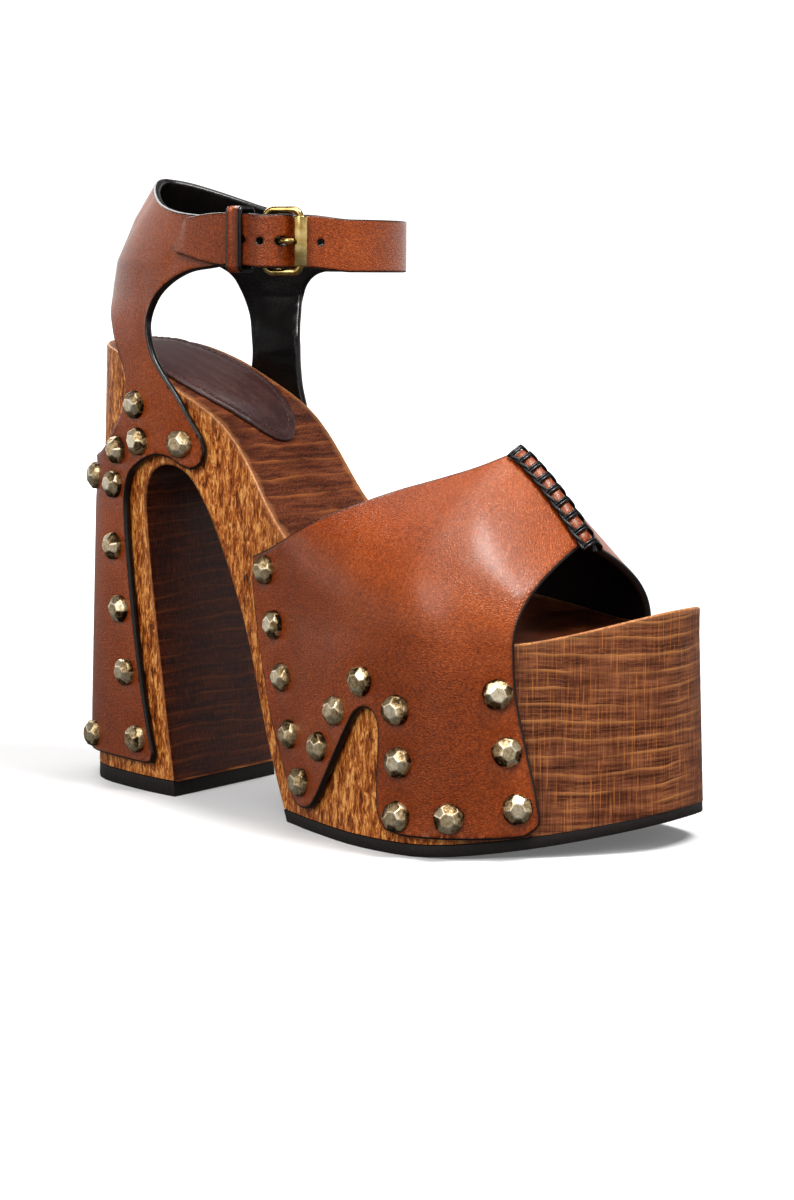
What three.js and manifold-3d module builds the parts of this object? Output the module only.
// Platform clog sandal, right foot: one carved wooden sole with a block heel, a peep-toe vamp and a
// heel counter of lined leather held by domed brass studs, and a buckled ankle strap.
// Millimetres, +Z up, toe towards -Y, outer (buckle) side towards -X, heel tread centred near x = y = 0.
// "Along" is the distance forward from the back of the heel. A table's lengths are shares of named sizes.
import * as THREE from 'three';
import { mergeVertices } from 'three/addons/utils/BufferGeometryUtils.js';
import Module from 'manifold-3d';

const wasm = await Module();
wasm.setup();

// Sole
const LENGTH = 225;            // back of the heel to the tip of the toe
const BALL_WIDTH = 91.6;
const HEEL_WIDTH = 54;
const HEEL_HEIGHT = 150;       // floor to the seat at the back
const PLATFORM_HEIGHT = 64;    // floor to the footbed under the toes
const TOE_SPRING = 8.75;       // lift of the tread at the tip of the toe
const SPRING_START = 0.733;    // share of LENGTH where the tread leaves the floor
const OUTSOLE = 3.6;
const HEEL_LIFT = 5;
const PLATFORM_FLARE = 0.045;  // spread of the platform at the floor, as a share
const HEEL_TAPER = 0.03;       // narrowing of the heel at the floor, as a share
const HEEL_LEAN = 7.4;         // the heel's back lies this much further back at the floor than at the seat
const HEEL_CENTRE = 28;        // along, where y = 0
const SOCK = 2.2;

// Upper
const LEATHER = 2.5;           // leather with its lining
const GAP = 0.3;               // between two pieces that touch
const VAMP_RISE = 54;          // platform to the top of the vamp
const COLLAR_RISE = 54;        // heel seat to the top of the collar
const RIDGE_X = 3;             // the vamp's centre ridge lies this far inward
const CROWN = 0.42;            // roundness of the vamp across
const ANKLE_WIDTH = 72;
const LACING_WIDTH = 9;
const LACING = 1.8;
const LACING_STEPS = 8;

// Ankle strap, keeper and buckle, placed by the distance round the ankle from the middle of the front
const STRAP_WIDTH = 16.5;
const STRAP = 2.2;
const STRAP_HEIGHT = HEEL_HEIGHT + 31.5;
const STRAP_TIP_AT = 79;
const STRAP_TIP_WIDTH = 10.5;
const STRAP_LAP_AT = -76;      // its sewn end, on the inner side
const LAP_LEVEL = STRAP_HEIGHT - 0.5;
const ROLLER_AT = 30.2;
const END_BAR_AT = 41;
const HOLE_PITCH = 6;
const HOLE_RADIUS = 1.15;
const PRONG_HOLE_AT = 35.5;
const KEEPER_AT = 49.6;
const KEEPER_LEVEL = STRAP_HEIGHT + 1.3;
const KEEPER_WIDTH = 5.8;
const KEEPER_WALL = 1.5;
const WIRE_RADIUS = 1.1;
const BUCKLE_LEVEL = STRAP_HEIGHT + 0.8;
const BUCKLE_HEIGHT = 21.4;
const BUCKLE_CORNER = 2.4;
const ROLLER_RADIUS = 2.3;
const PRONG_RADIUS = 0.9;
const FOLD_RADIUS = 2.6;       // the leather folded round the end bar

// Studs
const STUD_RADIUS = 4.65;
const STUD_HEIGHT = 3;
const STUD_SIDES = 7;

// Outline of the footbed, round from the heel: outer side, toe, inner side.
// Columns: along (LENGTH), across (half of the sole's width there)
const OUTLINE = [
  [0.030, 0.007], [0.077, -0.744], [0.165, -1.026], [0.259, -1.115], [0.365, -0.927], [0.470, -0.864],
  [0.570, -0.924], [0.673, -1.050], [0.780, -1.031], [0.865, -0.721], [0.937, -0.330], [0.994, 0.116],
  [0.982, 0.618], [0.882, 0.806], [0.776, 0.904], [0.670, 0.902], [0.572, 0.694], [0.471, 0.621],
  [0.363, 0.758], [0.257, 0.819], [0.161, 0.926], [0.072, 0.789],
];
// Height of the footbed. Columns: along (LENGTH), rise from PLATFORM_HEIGHT (0) to HEEL_HEIGHT (1)
const BED = [
  [0.000, 1.002], [0.080, 0.977], [0.178, 0.902], [0.311, 0.743], [0.458, 0.317], [0.613, 0.094],
  [0.747, 0.028], [0.858, 0.001], [1.020, 0.120],
];
// The open arch from the heel's breast over to the platform. Columns: along (LENGTH), height (HEEL_HEIGHT)
const ARCH = [
  [0.250, -0.030], [0.221, 0.261], [0.195, 0.539], [0.190, 0.673], [0.206, 0.717], [0.237, 0.733],
  [0.271, 0.717], [0.300, 0.659], [0.360, 0.447], [0.436, 0.146], [0.500, -0.036],
];
// Heel sock. Columns: along (LENGTH), across (HEEL_WIDTH / 2)
const SOCK_OUTLINE = [
  [0.050, 0.02], [0.072, -0.50], [0.133, -0.79], [0.225, -0.87], [0.300, -0.68], [0.352, -0.28],
  [0.356, 0.08], [0.325, 0.40], [0.240, 0.66], [0.148, 0.72], [0.072, 0.54],
];

// Side view of the upper. Columns: along (LENGTH), level, where 0 is the floor, 1 the wood's
// top (PLATFORM_HEIGHT for the vamp, HEEL_HEIGHT for the counter) and 2 the top of the leather
const RIDGE = [
  [0.385, 2.060], [0.467, 2.148], [0.556, 2.172], [0.644, 2.135], [0.711, 2.061], [0.756, 1.993],
  [0.790, 1.885], [0.824, 1.745], [0.858, 1.580], [0.890, 1.420], [0.925, 1.250],
];
const VAMP_THROAT = [
  [0.403, 1.352], [0.449, 1.426], [0.489, 1.504], [0.542, 1.611], [0.600, 1.715], [0.653, 1.804],
  [0.698, 1.874], [0.729, 1.937], [0.752, 2.019],
];
const VAMP_FRONT = [
  [0.870, 1.530], [0.872, 1.370], [0.873, 1.200], [0.873, 1.000], [0.877, 0.770], [0.890, 0.498], [0.902, 0.250],
  [0.903, 0.160], [0.889, 0.108],
];
const VAMP_FOOT = [[0.865, 0.100], [0.749, 0.100]];
const VAMP_SLIT = [
  [0.722, 0.119], [0.709, 0.177], [0.705, 0.281], [0.705, 0.547], [0.702, 0.625], [0.692, 0.667],
  [0.676, 0.672], [0.661, 0.634], [0.644, 0.544], [0.581, 0.191], [0.566, 0.134], [0.543, 0.114],
  [0.521, 0.138], [0.502, 0.206],
];
const VAMP_REAR = [[0.478, 0.344], [0.453, 0.500], [0.431, 0.719], [0.411, 0.960], [0.401, 1.190]];
const WRAP_FRONT = [
  [0.213, 0.093], [0.204, 0.138], [0.179, 0.309], [0.160, 0.494], [0.152, 0.600], [0.152, 0.662],
  [0.163, 0.707], [0.188, 0.734], [0.221, 0.752], [0.250, 0.749], [0.272, 0.734], [0.290, 0.727],
  [0.306, 0.739], [0.313, 0.765], [0.308, 0.797],
];
const BAND_FRONT_OUTER = [
  [0.291, 0.833], [0.267, 0.885], [0.242, 0.926], [0.220, 0.968], [0.209, 1.026], [0.206, 1.130],
  [0.220, 1.246], [0.251, 1.337], [0.297, 1.412], [0.345, 1.440], [0.374, 1.456],
];
const BAND_FRONT_INNER = [
  [0.303, 0.850], [0.294, 0.897], [0.290, 0.942], [0.286, 1.000], [0.271, 1.128], [0.261, 1.231],
  [0.265, 1.325], [0.281, 1.396], [0.318, 1.438],
];
const COLLAR_TOP = [
  [0.338, 1.748], [0.293, 1.763], [0.253, 1.785], [0.213, 1.826], [0.182, 1.878], [0.151, 1.937],
  [0.124, 1.985], [0.098, 2.009],
];
const BACK_OPENING_OUTER = [
  [0.044, 1.497], [0.050, 1.494], [0.057, 1.472], [0.062, 1.412], [0.068, 1.315], [0.085, 1.200], [0.110, 1.090],
  [0.124, 1.000], [0.136, 0.967], [0.149, 0.935], [0.153, 0.905], [0.151, 0.875], [0.140, 0.838],
  [0.116, 0.795], [0.087, 0.757], [0.050, 0.740],
];
const BACK_OPENING_INNER = [
  [0.044, 1.497], [0.075, 1.494], [0.110, 1.475], [0.133, 1.438], [0.148, 1.385], [0.158, 1.310],
  [0.169, 1.204], [0.181, 1.080], [0.189, 0.970], [0.184, 0.920], [0.166, 0.868], [0.130, 0.810],
  [0.087, 0.763], [0.050, 0.740],
];
// Studs of one side. Columns: along (LENGTH), level as in the side view
const VAMP_STUDS = [
  [0.433, 1.280], [0.456, 0.972], [0.481, 0.725], [0.506, 0.458], [0.538, 0.242], [0.583, 0.442],
  [0.620, 0.637], [0.672, 0.802], [0.736, 0.689], [0.742, 0.445], [0.742, 0.191], [0.813, 0.200],
  [0.859, 0.780], [0.870, 0.512], [0.882, 0.245],
];
const COUNTER_STUDS = [
  [0.272, 0.782], [0.178, 0.861], [0.185, 0.781], [0.131, 0.758], [0.122, 0.682], [0.120, 0.543],
  [0.135, 0.405], [0.149, 0.265], [0.174, 0.119],
];
const BACK_STUDS = [[0.057, 0.694], [0.055, 0.105]];
// The ankle's shape at three heights above the seat. Columns: height (COLLAR_RISE), back of the
// ankle along (LENGTH), fullness, nose, where a larger nose gives a narrower back
const ANKLE = [[0.0, 0.020, 2.0, 0.50], [0.48, 0.047, 2.0, 0.50], [0.74, 0.071, 1.75, 0.61],
  [1.0, 0.113, 1.55, 0.72]];
const ANKLE_WIDEST = 0.378;    // along, share of LENGTH
const ANKLE_FRONT = 0.527;     // front of the strap's loop, share of LENGTH
const AXIS_AT = 0.267;         // along, the upright axis that the counter is drawn around

// Small maths
const clamp01 = (t) => Math.min(1, Math.max(0, t));
const smooth = (t) => clamp01(t) ** 2 * (3 - 2 * clamp01(t));
const mix = THREE.MathUtils.lerp;
const at = (x, along, z) => new THREE.Vector3(x, HEEL_CENTRE - along, z);

// Straight-line reading of a table of [key, value] rows
function read(rows, key) {
  const next = rows.findIndex((row) => row[0] >= key);
  if (next < 1) return next === 0 ? rows[0][1] : rows[rows.length - 1][1];
  const [from, to] = [rows[next - 1], rows[next]];
  return mix(from[1], to[1], (key - from[0]) / (to[0] - from[0]));
}

// Points on one smooth curve through a list of [u, v] pairs
function curve(pairs, count, closed = false) {
  const path = new THREE.CatmullRomCurve3(pairs.map(([u, v]) => new THREE.Vector3(u, v, 0)), closed);
  const points = path.getPoints(count).map((p) => [p.x, p.y]);
  return closed ? points.slice(0, -1) : points;
}

const BED_CURVE = curve(BED, 64);
const RIDGE_CURVE = curve(RIDGE, 64);
const halfWidth = (along) => mix(HEEL_WIDTH, BALL_WIDTH, smooth((along / LENGTH - 0.3) / 0.32)) / 2;
const bedHeight = (along) => mix(PLATFORM_HEIGHT, HEEL_HEIGHT, read(BED_CURVE, along / LENGTH));
const springHeight = (along) =>
  TOE_SPRING * Math.max(0, (along / LENGTH - SPRING_START) / (1 - SPRING_START)) ** 2;
const level = (share, base, rise) => (share <= 1 ? share * base : base + (share - 1) * rise);
const vampLevel = (share) => level(share, PLATFORM_HEIGHT, VAMP_RISE);
const counterLevel = (share) => level(share, HEEL_HEIGHT, COLLAR_RISE);
const sideView = (table, toHeight) => table.map(([along, share]) => [along * LENGTH, toHeight(share)]);

// Plan of the sole

// Outline as [x, along] points, moved outwards by a distance
function outline(offset, count = 88) {
  const points = curve(OUTLINE.map(([along, across]) => [across * halfWidth(along * LENGTH), along * LENGTH]),
    count, true);
  return points.map(([x, along], i) => {
    const [x0, a0] = points.at(i - 1);
    const [x1, a1] = points[(i + 1) % points.length];
    const size = Math.hypot(x1 - x0, a1 - a0);
    return [x - ((a1 - a0) / size) * offset, along + ((x1 - x0) / size) * offset];
  });
}

// Share by which the wood spreads at a height: the platform flares and the heel tapers to the floor
function spread(along, z) {
  const platform = PLATFORM_FLARE * clamp01(1 - z / PLATFORM_HEIGHT);
  const heel = -HEEL_TAPER * clamp01(1 - z / HEEL_HEIGHT);
  return mix(heel, platform, smooth((along / LENGTH - 0.3) / 0.12));
}
const spreadCentre = (along) => mix(HEEL_CENTRE, 0.756 * LENGTH, smooth((along / LENGTH - 0.3) / 0.12));
// How far the wood moves forward at a height: its spread, and the heel's back, which leans back
const shift = (along, z) => spread(along, z) * (along - spreadCentre(along))
  - HEEL_LEAN * clamp01(1 - z / HEEL_HEIGHT) * smooth(1 - along / (0.25 * LENGTH));
const spreadPoint = (x, along, z) => at(x * (1 + spread(along, z)), along + shift(along, z), z);

// The two sides of an outline as [along, x] tables: outer (-1) and inner (+1)
const walls = new Map();
function wallTable(side, offset) {
  const key = `${side} ${offset}`;
  if (!walls.has(key)) {
    const points = outline(offset, 220);
    const tip = points.reduce((best, p, i) => (p[1] > points[best][1] ? i : best), 0);
    const part = side < 0 ? points.slice(0, tip + 1) : [points[0], ...points.slice(tip).reverse()];
    walls.set(key, part.map(([x, along]) => [along, x]).sort((a, b) => a[0] - b[0]));
  }
  return walls.get(key);
}
function wallX(side, along, z, offset) {
  let source = along;
  for (let round = 0; round < 4; round += 1) source = along - shift(source, z);
  return read(wallTable(side, offset), source) * (1 + spread(source, z));
}

// Solids

function solid(geometry) {
  const shape = geometry.clone();
  shape.deleteAttribute('normal');
  shape.deleteAttribute('uv');
  const merged = mergeVertices(shape.index ? shape.toNonIndexed() : shape, 1e-4);
  const positions = Float32Array.from(merged.attributes.position.array);
  const triangles = [];
  const index = merged.index.array;
  for (let i = 0; i < index.length; i += 3) {
    const [a, b, c] = [index[i], index[i + 1], index[i + 2]];
    if (a !== b && b !== c && c !== a) triangles.push(a, b, c);
  }
  const mesh = new wasm.Mesh({ numProp: 3, vertProperties: positions, triVerts: Uint32Array.from(triangles) });
  return new wasm.Manifold(mesh);
}

function geometryOf(body) {
  const mesh = body.getMesh();
  const geometry = new THREE.BufferGeometry();
  const positions = new Float32Array(mesh.numVert * 3);
  for (let i = 0; i < mesh.numVert; i += 1) {
    for (let k = 0; k < 3; k += 1) positions[3 * i + k] = mesh.vertProperties[mesh.numProp * i + k];
  }
  geometry.setAttribute('position', new THREE.BufferAttribute(positions, 3));
  geometry.setIndex(Array.from(mesh.triVerts));
  geometry.computeVertexNormals();
  return geometry;
}

// A closed mesh from points and triangles, turned so that its faces point out
function closedMesh(points, triangles) {
  let volume = 0;
  for (const [a, b, c] of triangles) volume += points[a].dot(points[b].clone().cross(points[c]));
  const faces = volume > 0 ? triangles : triangles.map(([a, b, c]) => [a, c, b]);
  const geometry = new THREE.BufferGeometry().setFromPoints(points);
  geometry.setIndex(faces.flat());
  return geometry;
}

// Loops of points stacked into a body with a lid at each end
function loft(loops) {
  const count = loops[0].length;
  const triangles = [];
  for (let i = 0; i + 1 < loops.length; i += 1) {
    for (let j = 0; j < count; j += 1) {
      const [a, b] = [i * count + j, i * count + ((j + 1) % count)];
      triangles.push([a, b, b + count], [a, b + count, a + count]);
    }
  }
  const lid = THREE.ShapeUtils.triangulateShape(loops[0].map((p) => new THREE.Vector2(p.x, p.y)), []);
  const top = (loops.length - 1) * count;
  for (const [a, b, c] of lid) {
    triangles.push([c, b, a], [a + top, b + top, c + top]);
  }
  return solid(closedMesh(loops.flat(), triangles));
}

// A wall of even thickness: the grid is one face, the other lies below it along the surface normals
function wall(grid, thickness) {
  const [rows, columns] = [grid.length, grid[0].length];
  const pick = (i, j) => grid[THREE.MathUtils.clamp(i, 0, rows - 1)][THREE.MathUtils.clamp(j, 0, columns - 1)];
  const inner = grid.map((row, i) => row.map((point, j) => {
    const across = pick(i, j + 1).clone().sub(pick(i, j - 1));
    const down = pick(i + 1, j).clone().sub(pick(i - 1, j));
    return point.clone().addScaledVector(across.cross(down).normalize(), thickness);
  }));
  const points = [...grid.flat(), ...inner.flat()];
  const under = rows * columns;
  const triangles = [];
  const quad = (a, b, c, d) => triangles.push([a, b, c], [a, c, d]);
  for (let i = 0; i + 1 < rows; i += 1) {
    for (let j = 0; j + 1 < columns; j += 1) {
      const a = i * columns + j;
      quad(a, a + 1, a + columns + 1, a + columns);
      quad(a + under, a + columns + under, a + columns + 1 + under, a + 1 + under);
    }
  }
  for (let j = 0; j + 1 < columns; j += 1) {
    const last = (rows - 1) * columns + j;
    quad(j + 1, j, j + under, j + 1 + under);
    quad(last, last + 1, last + 1 + under, last + under);
  }
  for (let i = 0; i + 1 < rows; i += 1) {
    const [a, b] = [i * columns, (i + 1) * columns];
    quad(a, b, b + under, a + under);
    quad(b + columns - 1, a + columns - 1, a + columns - 1 + under, b + columns - 1 + under);
  }
  return solid(closedMesh(points, triangles));
}

// A prism across the sandal from a side view of [along, z] points
function acrossPrism(points, x0, x1) {
  const shape = new THREE.Shape(points.map(([along, z]) => new THREE.Vector2(along, z)));
  const geometry = new THREE.ExtrudeGeometry(shape, { depth: x1 - x0, bevelEnabled: false, curveSegments: 1 });
  const place = new THREE.Matrix4().set(0, 0, -1, x1, -1, 0, 0, HEEL_CENTRE, 0, 1, 0, 0, 0, 0, 0, 1);
  return solid(geometry.applyMatrix4(place));
}

// A round tube along points, closed on itself or with flat ends
function tube(points, radius, sides, closed, radiusAt = () => 1) {
  const path = new THREE.CatmullRomCurve3(points, closed, 'catmullrom', 0);
  const frames = path.computeFrenetFrames(points.length - (closed ? 0 : 1), closed);
  const loops = points.map((point, i) => Array.from({ length: sides }, (_, k) => {
    const turn = (2 * Math.PI * (k + 0.5)) / sides;
    const reach = radius * radiusAt(i / (points.length - 1));
    return point.clone().addScaledVector(frames.normals[i], reach * Math.cos(turn))
      .addScaledVector(frames.binormals[i], reach * Math.sin(turn));
  }));
  const triangles = [];
  const rings = closed ? points.length : points.length - 1;
  for (let i = 0; i < rings; i += 1) {
    for (let k = 0; k < sides; k += 1) {
      const [a, b] = [i * sides + k, i * sides + ((k + 1) % sides)];
      const [c, d] = [((i + 1) % points.length) * sides + k, ((i + 1) % points.length) * sides + ((k + 1) % sides)];
      triangles.push([a, b, d], [a, d, c]);
    }
  }
  if (!closed) {
    const last = (points.length - 1) * sides;
    for (let k = 1; k + 1 < sides; k += 1) {
      triangles.push([0, k + 1, k], [last, last + k, last + k + 1]);
    }
  }
  return solid(closedMesh(loops.flat(), triangles));
}

// Upright cylinder
function post(centre, radius, height, sides = 16) {
  const geometry = new THREE.CylinderGeometry(radius, radius, height, sides);
  return solid(geometry.rotateX(Math.PI / 2).translate(centre.x, centre.y, centre.z));
}

// Materials
const finish = (color, roughness, metalness = 0) =>
  new THREE.MeshStandardMaterial({ color, roughness, metalness });
const wood = finish('#8a4f27', 0.5);
const leather = finish('#9c4a26', 0.45);
const blackRubber = finish('#231a17', 0.7);
const sockLeather = finish('#452a27', 0.6);
const brass = finish('#c9a45c', 0.3, 1);
const agedBrass = finish('#8d7a4e', 0.4, 1);

const sandal = new THREE.Group();
function add(name, geometry, material) {
  const mesh = new THREE.Mesh(geometry, material);
  mesh.name = name;
  sandal.add(mesh);
  return mesh;
}

// Wooden sole, its two treads and the heel sock

const soleTop = HEEL_HEIGHT + 6;
const soleBody = loft([-4, PLATFORM_HEIGHT, HEEL_HEIGHT, soleTop].map((z) =>
  outline(0).map(([x, along]) => spreadPoint(x, along, z))));
const bedLine = Array.from({ length: 41 }, (_, i) => mix(-6, LENGTH + 8, i / 40))
  .map((along) => [along, bedHeight(THREE.MathUtils.clamp(along, 0, LENGTH + 4))]);
const archLine = curve(ARCH.map(([along, z]) => [along * LENGTH, z * HEEL_HEIGHT]), 44);
const floorLine = (lift) => Array.from({ length: 13 }, (_, i) => mix(LENGTH + 8, SPRING_START * LENGTH, i / 12))
  .map((along) => [along, springHeight(along) + lift]);
const halfSpan = BALL_WIDTH;

// Side view between two heights, with the arch cut through
function soleSlice(lower, upper) {
  const slab = acrossPrism([...lower, ...upper], -halfSpan, halfSpan);
  return soleBody.intersect(slab).subtract(acrossPrism(archLine, -halfSpan, halfSpan));
}
const woodBlock = soleSlice([[-6, HEEL_LIFT + GAP], [0.37 * LENGTH, HEEL_LIFT + GAP], [0.37 * LENGTH, OUTSOLE + GAP],
  ...floorLine(OUTSOLE + GAP).reverse()], [...bedLine].reverse());
add('wood_block', geometryOf(woodBlock), wood);
const platformOutsole = soleSlice([[0.37 * LENGTH, 0], ...floorLine(0).reverse()],
  [...floorLine(OUTSOLE), [0.37 * LENGTH, OUTSOLE]]);
add('platform_outsole', geometryOf(platformOutsole), blackRubber);
const heelLift = soleSlice([[-6, 0], [0.37 * LENGTH, 0]], [[0.37 * LENGTH, HEEL_LIFT], [-6, HEEL_LIFT]]);
add('heel_lift', geometryOf(heelLift), blackRubber);

const sockPlan = curve(SOCK_OUTLINE.map(([along, across]) => [across * HEEL_WIDTH / 2, along * LENGTH]), 44, true);
const sockLevels = [HEEL_HEIGHT / 2, HEEL_HEIGHT * 2].map((z) => sockPlan.map(([x, along]) => at(x, along, z)));
const seatLine = bedLine.filter(([along]) => along < 0.45 * LENGTH);
const sockSlab = [...seatLine.map(([along, z]) => [along, z + GAP]),
  ...[...seatLine].reverse().map(([along, z]) => [along, z + GAP + SOCK])];
add('heel_sock', geometryOf(loft(sockLevels).intersect(acrossPrism(sockSlab, -halfSpan, halfSpan))), sockLeather);

// Vamp: an arched leather shell whose section across is a ridge that rounds down into upright sides

const SHOULDER_DROP = 2;       // the arch starts this far below the footbed
const skin = GAP + LEATHER;
const shoulderHeight = (along) => bedHeight(along) - SHOULDER_DROP;
const ridgeHeight = (along) => vampLevel(read(RIDGE_CURVE, along / LENGTH));

// Point on the vamp's outer face: 0 at the ridge, 1 at the shoulder, on to 2 at the floor
function vampPoint(along, side, t) {
  const shoulder = shoulderHeight(along);
  if (t > 1) {
    const z = mix(shoulder, 0, t - 1);
    return at(wallX(side, along, z, skin), along, z);
  }
  const rest = (1 - t) ** 2.2;
  const x = mix(RIDGE_X, wallX(side, along, shoulder, skin), 1 - rest);
  return at(x, along, mix(shoulder, ridgeHeight(along), rest ** CROWN));
}
const vampStations = Array.from({ length: 19 }, (_, i) => mix(0.388, 0.918, i / 18) * LENGTH);
const acrossSteps = [2, 1.5, 1.12, 1, 0.93, 0.85, 0.76, 0.65, 0.52, 0.38, 0.24, 0.11];
const vampGrid = vampStations.map((along) => [
  ...acrossSteps.map((t) => vampPoint(along, -1, t)), vampPoint(along, 1, 0),
  ...[...acrossSteps].reverse().map((t) => vampPoint(along, 1, t))]);
const vampOutline = [
  ...curve(sideView(VAMP_THROAT, vampLevel), 14), [0.756 * LENGTH, vampLevel(2.2)],
  [0.870 * LENGTH, vampLevel(2.2)], ...curve(sideView(VAMP_FRONT, vampLevel), 16),
  ...sideView(VAMP_FOOT, vampLevel), ...curve(sideView(VAMP_SLIT, vampLevel), 34),
  ...curve(sideView(VAMP_REAR, vampLevel), 8)];
const vamp = wall(vampGrid, LEATHER).intersect(acrossPrism(vampOutline, -halfSpan, halfSpan));
add('vamp', geometryOf(vamp), leather);

// Lacing strip on the ridge, with a raised step for each turn of its cord
function ridgePoint(along, x, lift) {
  const side = x < RIDGE_X ? -1 : 1;
  const reach = Math.abs(wallX(side, along, shoulderHeight(along), skin) - RIDGE_X);
  const rest = 1 - Math.abs(x - RIDGE_X) / reach;
  const z = mix(shoulderHeight(along), ridgeHeight(along), rest ** CROWN);
  return at(x, along, z).add(new THREE.Vector3(0, -Math.SQRT1_2 * lift, Math.SQRT1_2 * lift));
}
const LACING_FROM = 0.750;
const LACING_TO = 0.876;
const lacingRows = [];
for (let step = 0; step < LACING_STEPS; step += 1) {
  for (const [within, height] of [[0.06, 0.62], [0.2, 1], [0.8, 1], [0.94, 0.62]]) {
    const along = mix(LACING_FROM, LACING_TO, (step + within) / LACING_STEPS) * LENGTH;
    const top = [-0.5, -0.28, 0, 0.28, 0.5].map((share) =>
      ridgePoint(along, RIDGE_X + share * LACING_WIDTH, GAP + LACING * height));
    const foot = [0.5, 0, -0.5].map((share) => ridgePoint(along, RIDGE_X + share * LACING_WIDTH, GAP));
    lacingRows.push([...top, ...foot]);
  }
}
function stack(loops) {
  const count = loops[0].length;
  const triangles = [];
  for (let i = 0; i + 1 < loops.length; i += 1) {
    for (let j = 0; j < count; j += 1) {
      const [a, b] = [i * count + j, i * count + ((j + 1) % count)];
      triangles.push([a, b, b + count], [a, b + count, a + count]);
    }
  }
  const last = (loops.length - 1) * count;
  for (const [a, b, c] of [[0, 7, 1], [1, 7, 6], [1, 6, 2], [2, 6, 3], [3, 6, 5], [3, 5, 4]]) {
    triangles.push([a, b, c], [a + last, c + last, b + last]);
  }
  return solid(closedMesh(loops.flat(), triangles));
}
add('ridge_lacing', geometryOf(stack(lacingRows)), leather);

// Ankle: plan curves at a height, from the middle of the front round the outer side to the back

const ankleAt = (height, column) => read(ANKLE.map((row) => [row[0], row[column]]), height);
function ankleRing(z, count = 36) {
  const height = (z - HEEL_HEIGHT) / COLLAR_RISE;
  const [back, widest, front] = [ankleAt(height, 1), ANKLE_WIDEST, ANKLE_FRONT].map((s) => s * LENGTH);
  const [fullness, nose] = [ankleAt(height, 2), ankleAt(height, 3)];
  const half = [];
  for (let i = 0; i < count; i += 1) {
    const turn = (Math.PI / 2) * (i / count);
    half.push([Math.sin(turn) * ANKLE_WIDTH / 2, mix(widest, front, Math.cos(turn))]);
  }
  for (let i = 0; i <= count; i += 1) {
    const share = 1 - (1 - i / count) ** 2;
    const t = 1 - share;
    const wide = (1 - (1 - t) ** fullness) ** nose;
    half.push([wide * ANKLE_WIDTH / 2, mix(back, widest, t)]);
  }
  return [...half.map(([x, along]) => [-x, along]), ...half.slice(1, -1).reverse()];
}

// Distance from the upright axis to a closed ring of [x, along] points, in a direction from the back
const axisAlong = AXIS_AT * LENGTH;
const bearing = ([x, along]) => Math.atan2(-x, axisAlong - along);
function polar(points) {
  const rows = points.map((p) => [bearing(p), Math.hypot(p[0], p[1] - axisAlong)]).sort((a, b) => a[0] - b[0]);
  const [first, last] = [rows[0], rows[rows.length - 1]];
  return [[last[0] - 2 * Math.PI, last[1]], ...rows, [first[0] + 2 * Math.PI, first[1]]];
}

// Counter: heel wrap, side bands and collar, one leather wall drawn round the axis.
// It hugs the heel up to MORPH_FROM of its height and is the ankle's shape from MORPH_TO up.
const MORPH_FROM = 0.955;
const MORPH_TO = 1.30;
const heelPolar = polar(outline(skin, 220));
function counterPoint(angle, z) {
  const share = z <= HEEL_HEIGHT ? z / HEEL_HEIGHT : 1 + (z - HEEL_HEIGHT) / COLLAR_RISE;
  const blend = smooth((share - MORPH_FROM) / (MORPH_TO - MORPH_FROM));
  const heel = read(heelPolar, angle);
  const reach = blend > 0 ? mix(heel, read(polar(ankleRing(z)), angle), blend) : heel;
  return spreadPoint(-reach * Math.sin(angle), axisAlong - reach * Math.cos(angle), z);
}
const CHAPE_ANGLE = 2.44;      // the outer side reaches forward to the buckle's end bar
const LAP_ANGLE = -2.12;       // the inner side reaches under the strap's sewn end
const counterLevels = [0.04, 0.4, 0.75, 0.86, 0.955, 1.03, 1.10, 1.17, 1.24, 1.32, 1.44, 1.58, 1.74, 1.88, 2.04];
// Finer steps where the heel's corners turn
const cornerSteps = [0.66, 0.56, 0.48, 0.415, 0.355, 0.3, 0.24, 0.17, 0.085];
const sideSteps = (end) => Array.from({ length: 14 }, (_, i) => mix(end, 0.76, i / 13));
const counterAngles = [...sideSteps(CHAPE_ANGLE), ...cornerSteps, 0,
  ...[...cornerSteps].reverse().map((angle) => -angle), ...sideSteps(-LAP_ANGLE).reverse().map((angle) => -angle)];
const counterGrid = counterLevels.map((share) =>
  counterAngles.map((angle) => counterPoint(angle, counterLevel(share))));

function counterOutline(bandFront, backOpening, endLevel) {
  const reach = ANKLE_FRONT * LENGTH;
  return [
    [-9, counterLevel(0.066)], [0.200 * LENGTH, counterLevel(0.066)],
    [0.211 * LENGTH, counterLevel(0.073)], ...curve(sideView(WRAP_FRONT, counterLevel), 34),
    ...curve(sideView(bandFront, counterLevel), 16),
    [reach, endLevel - STRAP_WIDTH / 2 + 0.7], [reach, endLevel + STRAP_WIDTH / 2],
    [ANKLE_WIDEST * LENGTH, endLevel + STRAP_WIDTH / 2],
    ...curve(sideView(COLLAR_TOP, counterLevel), 14), [-9, counterLevel(2.06)],
    [-9, counterLevel(1.497)], ...curve(sideView(backOpening, counterLevel), 26),
    [-9, counterLevel(0.735)]];
}
const counterSides = acrossPrism(
  counterOutline(BAND_FRONT_OUTER, BACK_OPENING_OUTER, BUCKLE_LEVEL), -halfSpan, 0.01,
).add(acrossPrism(counterOutline(BAND_FRONT_INNER, BACK_OPENING_INNER, LAP_LEVEL), 0, halfSpan));
const counterWall = wall(counterGrid, LEATHER).intersect(counterSides);

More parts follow.
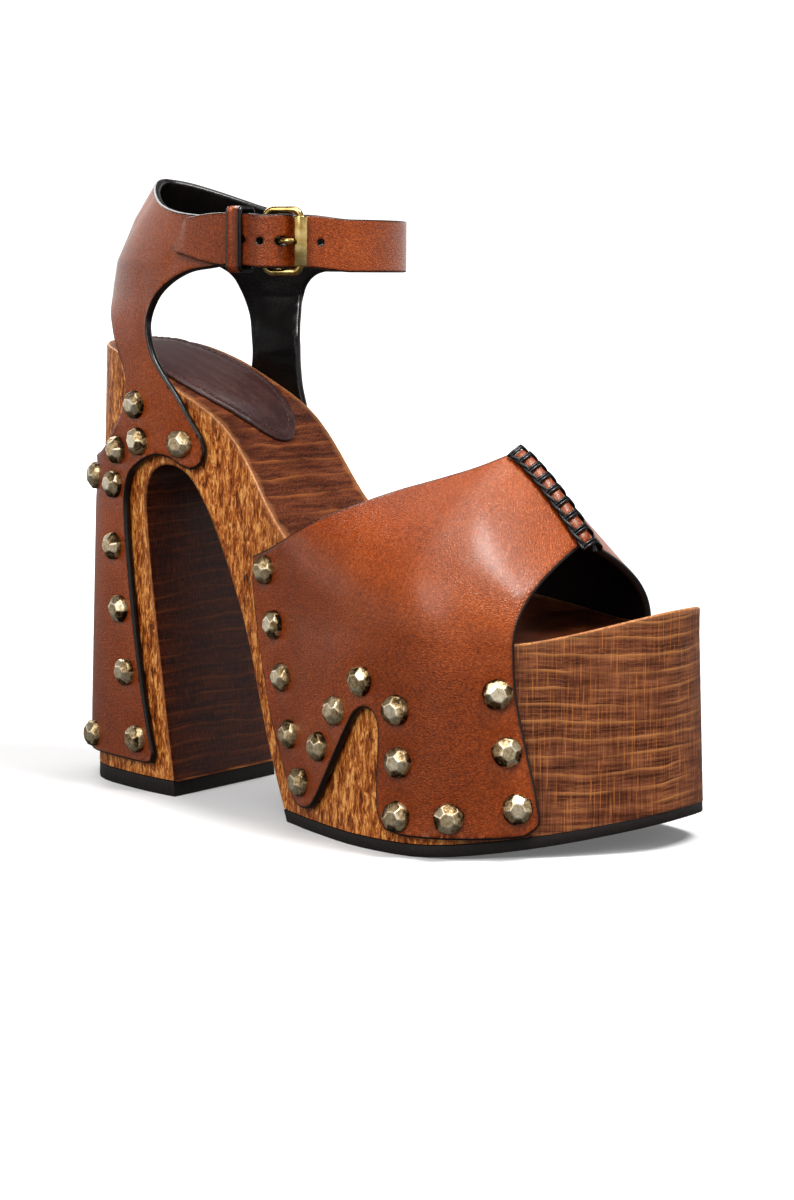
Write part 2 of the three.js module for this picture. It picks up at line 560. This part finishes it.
// The strap's level round the ankle: a point by distance from the front, outwards offset and height
const loops = new Map();
function loopAt(z) {
  if (!loops.has(z)) {
    const line = ankleRing(z, 72);
    const run = [0];
    for (let i = 1; i < line.length; i += 1) {
      run.push(run[i - 1] + Math.hypot(line[i][0] - line[i - 1][0], line[i][1] - line[i - 1][1]));
    }
    loops.set(z, { line, run });
  }
  return loops.get(z);
}
function onLoop(distance, offset, z) {
  const { line, run } = loopAt(z);
  const reach = Math.abs(distance);
  const side = Math.sign(distance) || 1;
  const next = Math.max(1, run.findIndex((r) => r >= reach));
  const [p, q] = [line[next - 1], line[next]];
  const t = (reach - run[next - 1]) / (run[next] - run[next - 1]);
  const size = Math.hypot(q[0] - p[0], q[1] - p[1]);
  const x = mix(p[0], q[0], t) + ((q[1] - p[1]) / size) * offset;
  const along = mix(p[1], q[1], t) - ((q[0] - p[0]) / size) * offset;
  return at(x * side, along, z);
}

// Buckle places: the end bar lies in the chape's fold, the front bar stands outside the strap
const endBar = onLoop(END_BAR_AT, -0.2, BUCKLE_LEVEL);
const frontBar = onLoop(ROLLER_AT, ROLLER_RADIUS, BUCKLE_LEVEL);
const foldSlot = 2 * (PRONG_RADIUS + 0.9);
const fold = post(endBar, FOLD_RADIUS, STRAP_WIDTH);
const barHole = post(endBar, WIRE_RADIUS + GAP, BUCKLE_HEIGHT);
const slot = post(endBar, FOLD_RADIUS + 1.2, foldSlot);
const CUT_RADIUS = 14;
const pastFold = onLoop(END_BAR_AT - CUT_RADIUS, -LEATHER / 2, BUCKLE_LEVEL);
const beyond = post(pastFold, CUT_RADIUS - WIRE_RADIUS, 2 * STRAP_WIDTH, 32);
add('heel_counter', geometryOf(counterWall.subtract(beyond).add(fold).subtract(barHole).subtract(slot)), leather);

// Ankle strap: sewn on the inner side, round the front, under the roller, over the end bar to its tip

// Path of the strap. Columns: distance from the front, offset of its inner face from the loop and
// level of its middle over STRAP_HEIGHT, in mm
const overCollar = GAP;
const underRoller = -STRAP - GAP;
const overFold = FOLD_RADIUS - 0.2 + GAP;
const STRAP_PATH = [
  [STRAP_LAP_AT, overCollar, -0.5], [-56, overCollar, -0.5], [-44, underRoller, -0.5], [12, underRoller, -0.5],
  [28.5, underRoller, 0.8], [ROLLER_AT + 1, underRoller, 0.8], [END_BAR_AT - 2.6, overFold - 0.4, 0.8],
  [END_BAR_AT + 0.6, overFold, 0.8], [KEEPER_AT - 3, overCollar + 0.5, 1.2], [KEEPER_AT + 3, overCollar, 1.4],
  [STRAP_TIP_AT, overCollar, 2.3],
];
function strapPath(distance) {
  const next = Math.max(1, STRAP_PATH.findIndex((row) => row[0] >= distance));
  const [from, to] = [STRAP_PATH[next - 1], STRAP_PATH[next]];
  const t = smooth((distance - from[0]) / (to[0] - from[0]));
  return [mix(from[1], to[1], t), STRAP_HEIGHT + mix(from[2], to[2], t)];
}
function strapHalfWidth(distance) {
  const taper = smooth((distance - KEEPER_AT - 4) / (STRAP_TIP_AT - KEEPER_AT - 4));
  const width = mix(STRAP_WIDTH, STRAP_TIP_WIDTH, taper ** 1.3) / 2;
  const fromEnd = Math.max(0, 3 - (STRAP_TIP_AT - distance)) / 3;
  return width - 2.2 * fromEnd ** 2.5;
}
const strapStations = [STRAP_LAP_AT, -70, -63, -56, -53, -50, -47, -44, -38, -32, -26, -20, -14, -8, -2, 4, 10, 16,
  22, 27, 31.2, 33, 34.7, 36.4, 38.4, 40, 41.6, 43.4, 45.5, 47.6, 50.6, 53.6, 57, 61, 65, 69, 73, 76, 77.5, 78.4,
  STRAP_TIP_AT];
const strapGrid = strapStations.map((distance) => {
  const [offset, middle] = strapPath(distance);
  return [1, 0, -1].map((share) =>
    onLoop(distance, offset + STRAP, middle + share * strapHalfWidth(distance)));
});
let strap = wall(strapGrid, STRAP);

// Prong: an eye round the end bar and a pin through the strap to the top of the roller
const prongTop = 2 * ROLLER_RADIUS + PRONG_RADIUS + 0.12;
const prongPath = [
  onLoop(END_BAR_AT - 1.2, 1.2, BUCKLE_LEVEL), onLoop(PRONG_HOLE_AT + 2.2, 3.2, BUCKLE_LEVEL),
  onLoop(PRONG_HOLE_AT - 1.2, prongTop - 0.3, BUCKLE_LEVEL), onLoop(ROLLER_AT + 1.5, prongTop, BUCKLE_LEVEL),
  onLoop(ROLLER_AT - 0.4, prongTop, BUCKLE_LEVEL)];
const prongTaper = (t) => 1 - 0.3 * t;
const eye = post(endBar, WIRE_RADIUS + 1.1, 2 * PRONG_RADIUS).subtract(post(endBar, WIRE_RADIUS + 0.2, 9));
const prong = tube(prongPath, PRONG_RADIUS, 8, false, prongTaper).add(eye)
  .subtract(post(endBar, WIRE_RADIUS + 0.2, 9));
add('buckle_prong', geometryOf(prong), brass);

// Holes in the strap, square to it, and a wider one where the prong passes
function strapHole(distance, radius) {
  const [from, to] = [-3, 9].map((offset) => onLoop(distance, offset, strapPath(distance)[1]));
  return tube([from, to], radius, 8, false);
}
for (const step of [-2, -1, 1, 2]) {
  strap = strap.subtract(strapHole(PRONG_HOLE_AT + step * HOLE_PITCH, HOLE_RADIUS));
}
strap = strap.subtract(tube(prongPath, PRONG_RADIUS + 0.45, 8, false));
add('ankle_strap', geometryOf(strap), leather);

// Buckle frame: a round wire bent to a rectangle, with a free roller on its front bar
const frameSpan = frontBar.clone().sub(endBar);
const frameAxis = frameSpan.clone().normalize();
const barRise = BUCKLE_HEIGHT / 2 - WIRE_RADIUS;
const frameCorner = (end, up) => Array.from({ length: 4 }, (_, i) => {
  const turn = ((up > 0) === (end > 0) ? i / 3 : 1 - i / 3) * (Math.PI / 2);
  const [inAlong, inUp] = [1 - Math.cos(turn), 1 - Math.sin(turn)].map((v) => v * BUCKLE_CORNER);
  const start = end > 0 ? frontBar : endBar;
  return start.clone().addScaledVector(frameAxis, -end * inAlong)
    .setZ(BUCKLE_LEVEL + up * (barRise - inUp));
});
const framePath = [...frameCorner(1, 1), ...frameCorner(-1, 1), ...frameCorner(-1, -1), ...frameCorner(1, -1)];
add('buckle_frame', geometryOf(tube(framePath, WIRE_RADIUS, 8, true)), brass);

const rollerHalf = STRAP_WIDTH / 2 - 0.45;
const rollerProfile = [[WIRE_RADIUS + 0.25, -rollerHalf], [ROLLER_RADIUS, -rollerHalf], [ROLLER_RADIUS, rollerHalf],
  [WIRE_RADIUS + 0.25, rollerHalf], [WIRE_RADIUS + 0.25, -rollerHalf]].map(([r, y]) => new THREE.Vector2(r, y));
const roller = solid(new THREE.LatheGeometry(rollerProfile, 14).rotateX(Math.PI / 2)
  .translate(frontBar.x, frontBar.y, BUCKLE_LEVEL));
add('buckle_roller', geometryOf(roller), brass);

// Keeper: a leather loop round the chape and the strap
const keeperNear = onLoop(KEEPER_AT, -LEATHER - 2 * GAP - KEEPER_WALL, KEEPER_LEVEL);
const keeperFar = onLoop(KEEPER_AT, overCollar + 0.5 + STRAP + GAP + KEEPER_WALL, KEEPER_LEVEL);
const keeperOut = keeperFar.clone().sub(keeperNear);
const keeperDepth = keeperOut.length();
const keeperHeight = STRAP_WIDTH + 2 * (GAP + 0.3 + KEEPER_WALL);
function keeperBox(depth, height, width) {
  const shape = new THREE.Shape();
  const round = Math.min(1.6, depth / 3);
  shape.moveTo(-depth / 2 + round, -height / 2);
  shape.lineTo(depth / 2 - round, -height / 2);
  shape.quadraticCurveTo(depth / 2, -height / 2, depth / 2, -height / 2 + round);
  shape.lineTo(depth / 2, height / 2 - round);
  shape.quadraticCurveTo(depth / 2, height / 2, depth / 2 - round, height / 2);
  shape.lineTo(-depth / 2 + round, height / 2);
  shape.quadraticCurveTo(-depth / 2, height / 2, -depth / 2, height / 2 - round);
  shape.lineTo(-depth / 2, -height / 2 + round);
  shape.quadraticCurveTo(-depth / 2, -height / 2, -depth / 2 + round, -height / 2);
  const geometry = new THREE.ExtrudeGeometry(shape, { depth: width, bevelEnabled: false, curveSegments: 3 });
  const out = keeperOut.clone().normalize();
  const up = new THREE.Vector3(0, 0, 1);
  const alongStrap = out.clone().cross(up);
  const middle = keeperNear.clone().add(keeperFar).multiplyScalar(0.5).addScaledVector(alongStrap, -width / 2);
  return solid(geometry.applyMatrix4(new THREE.Matrix4().makeBasis(out, up, alongStrap).setPosition(middle)));
}
const keeper = keeperBox(keeperDepth, keeperHeight, KEEPER_WIDTH)
  .subtract(keeperBox(keeperDepth - 2 * KEEPER_WALL, keeperHeight - 2 * KEEPER_WALL, 2 * KEEPER_WIDTH));
add('strap_keeper', geometryOf(keeper), leather);

// Studs: hammered brass domes on the leather, in rows on both sides

const studProfile = [[0, 0], [1, 0], [0.76, 0.72], [0.32, 1], [0, 1]]
  .map(([r, y]) => new THREE.Vector2(r * STUD_RADIUS, y * STUD_HEIGHT));
const studGeometry = geometryOf(solid(new THREE.LatheGeometry(studProfile, STUD_SIDES).rotateX(Math.PI / 2)));
function addStud(name, side, along, z) {
  const reach = skin + GAP;
  const place = (a, h) => at(wallX(side, a, h, reach), a, h);
  const centre = place(along, z);
  const forward = place(along + 2, z).sub(place(along - 2, z));
  const up = place(along, z + 2).sub(place(along, z - 2));
  const outward = up.cross(forward).normalize().multiplyScalar(side);
  const stud = add(name, studGeometry, agedBrass);
  stud.position.copy(centre).addScaledVector(outward, 0.15);
  stud.quaternion.setFromUnitVectors(new THREE.Vector3(0, 0, 1), outward);
}
// The sandal's four lowest inner studs beside the slit are left out here, to keep to sixty pieces
const INNER_LEFT_OUT = [5, 6, 7, 8];
for (const [side, name] of [[-1, 'outer'], [1, 'inner']]) {
  VAMP_STUDS.forEach(([along, share], i) => {
    if (side > 0 && INNER_LEFT_OUT.includes(i)) return;
    addStud(`vamp_stud_${name}_${i + 1}`, side, along * LENGTH, vampLevel(share));
  });
  [...COUNTER_STUDS, ...BACK_STUDS].forEach(([along, share], i) => {
    addStud(`heel_stud_${name}_${i + 1}`, side, along * LENGTH, counterLevel(share));
  });
}

export default sandal;
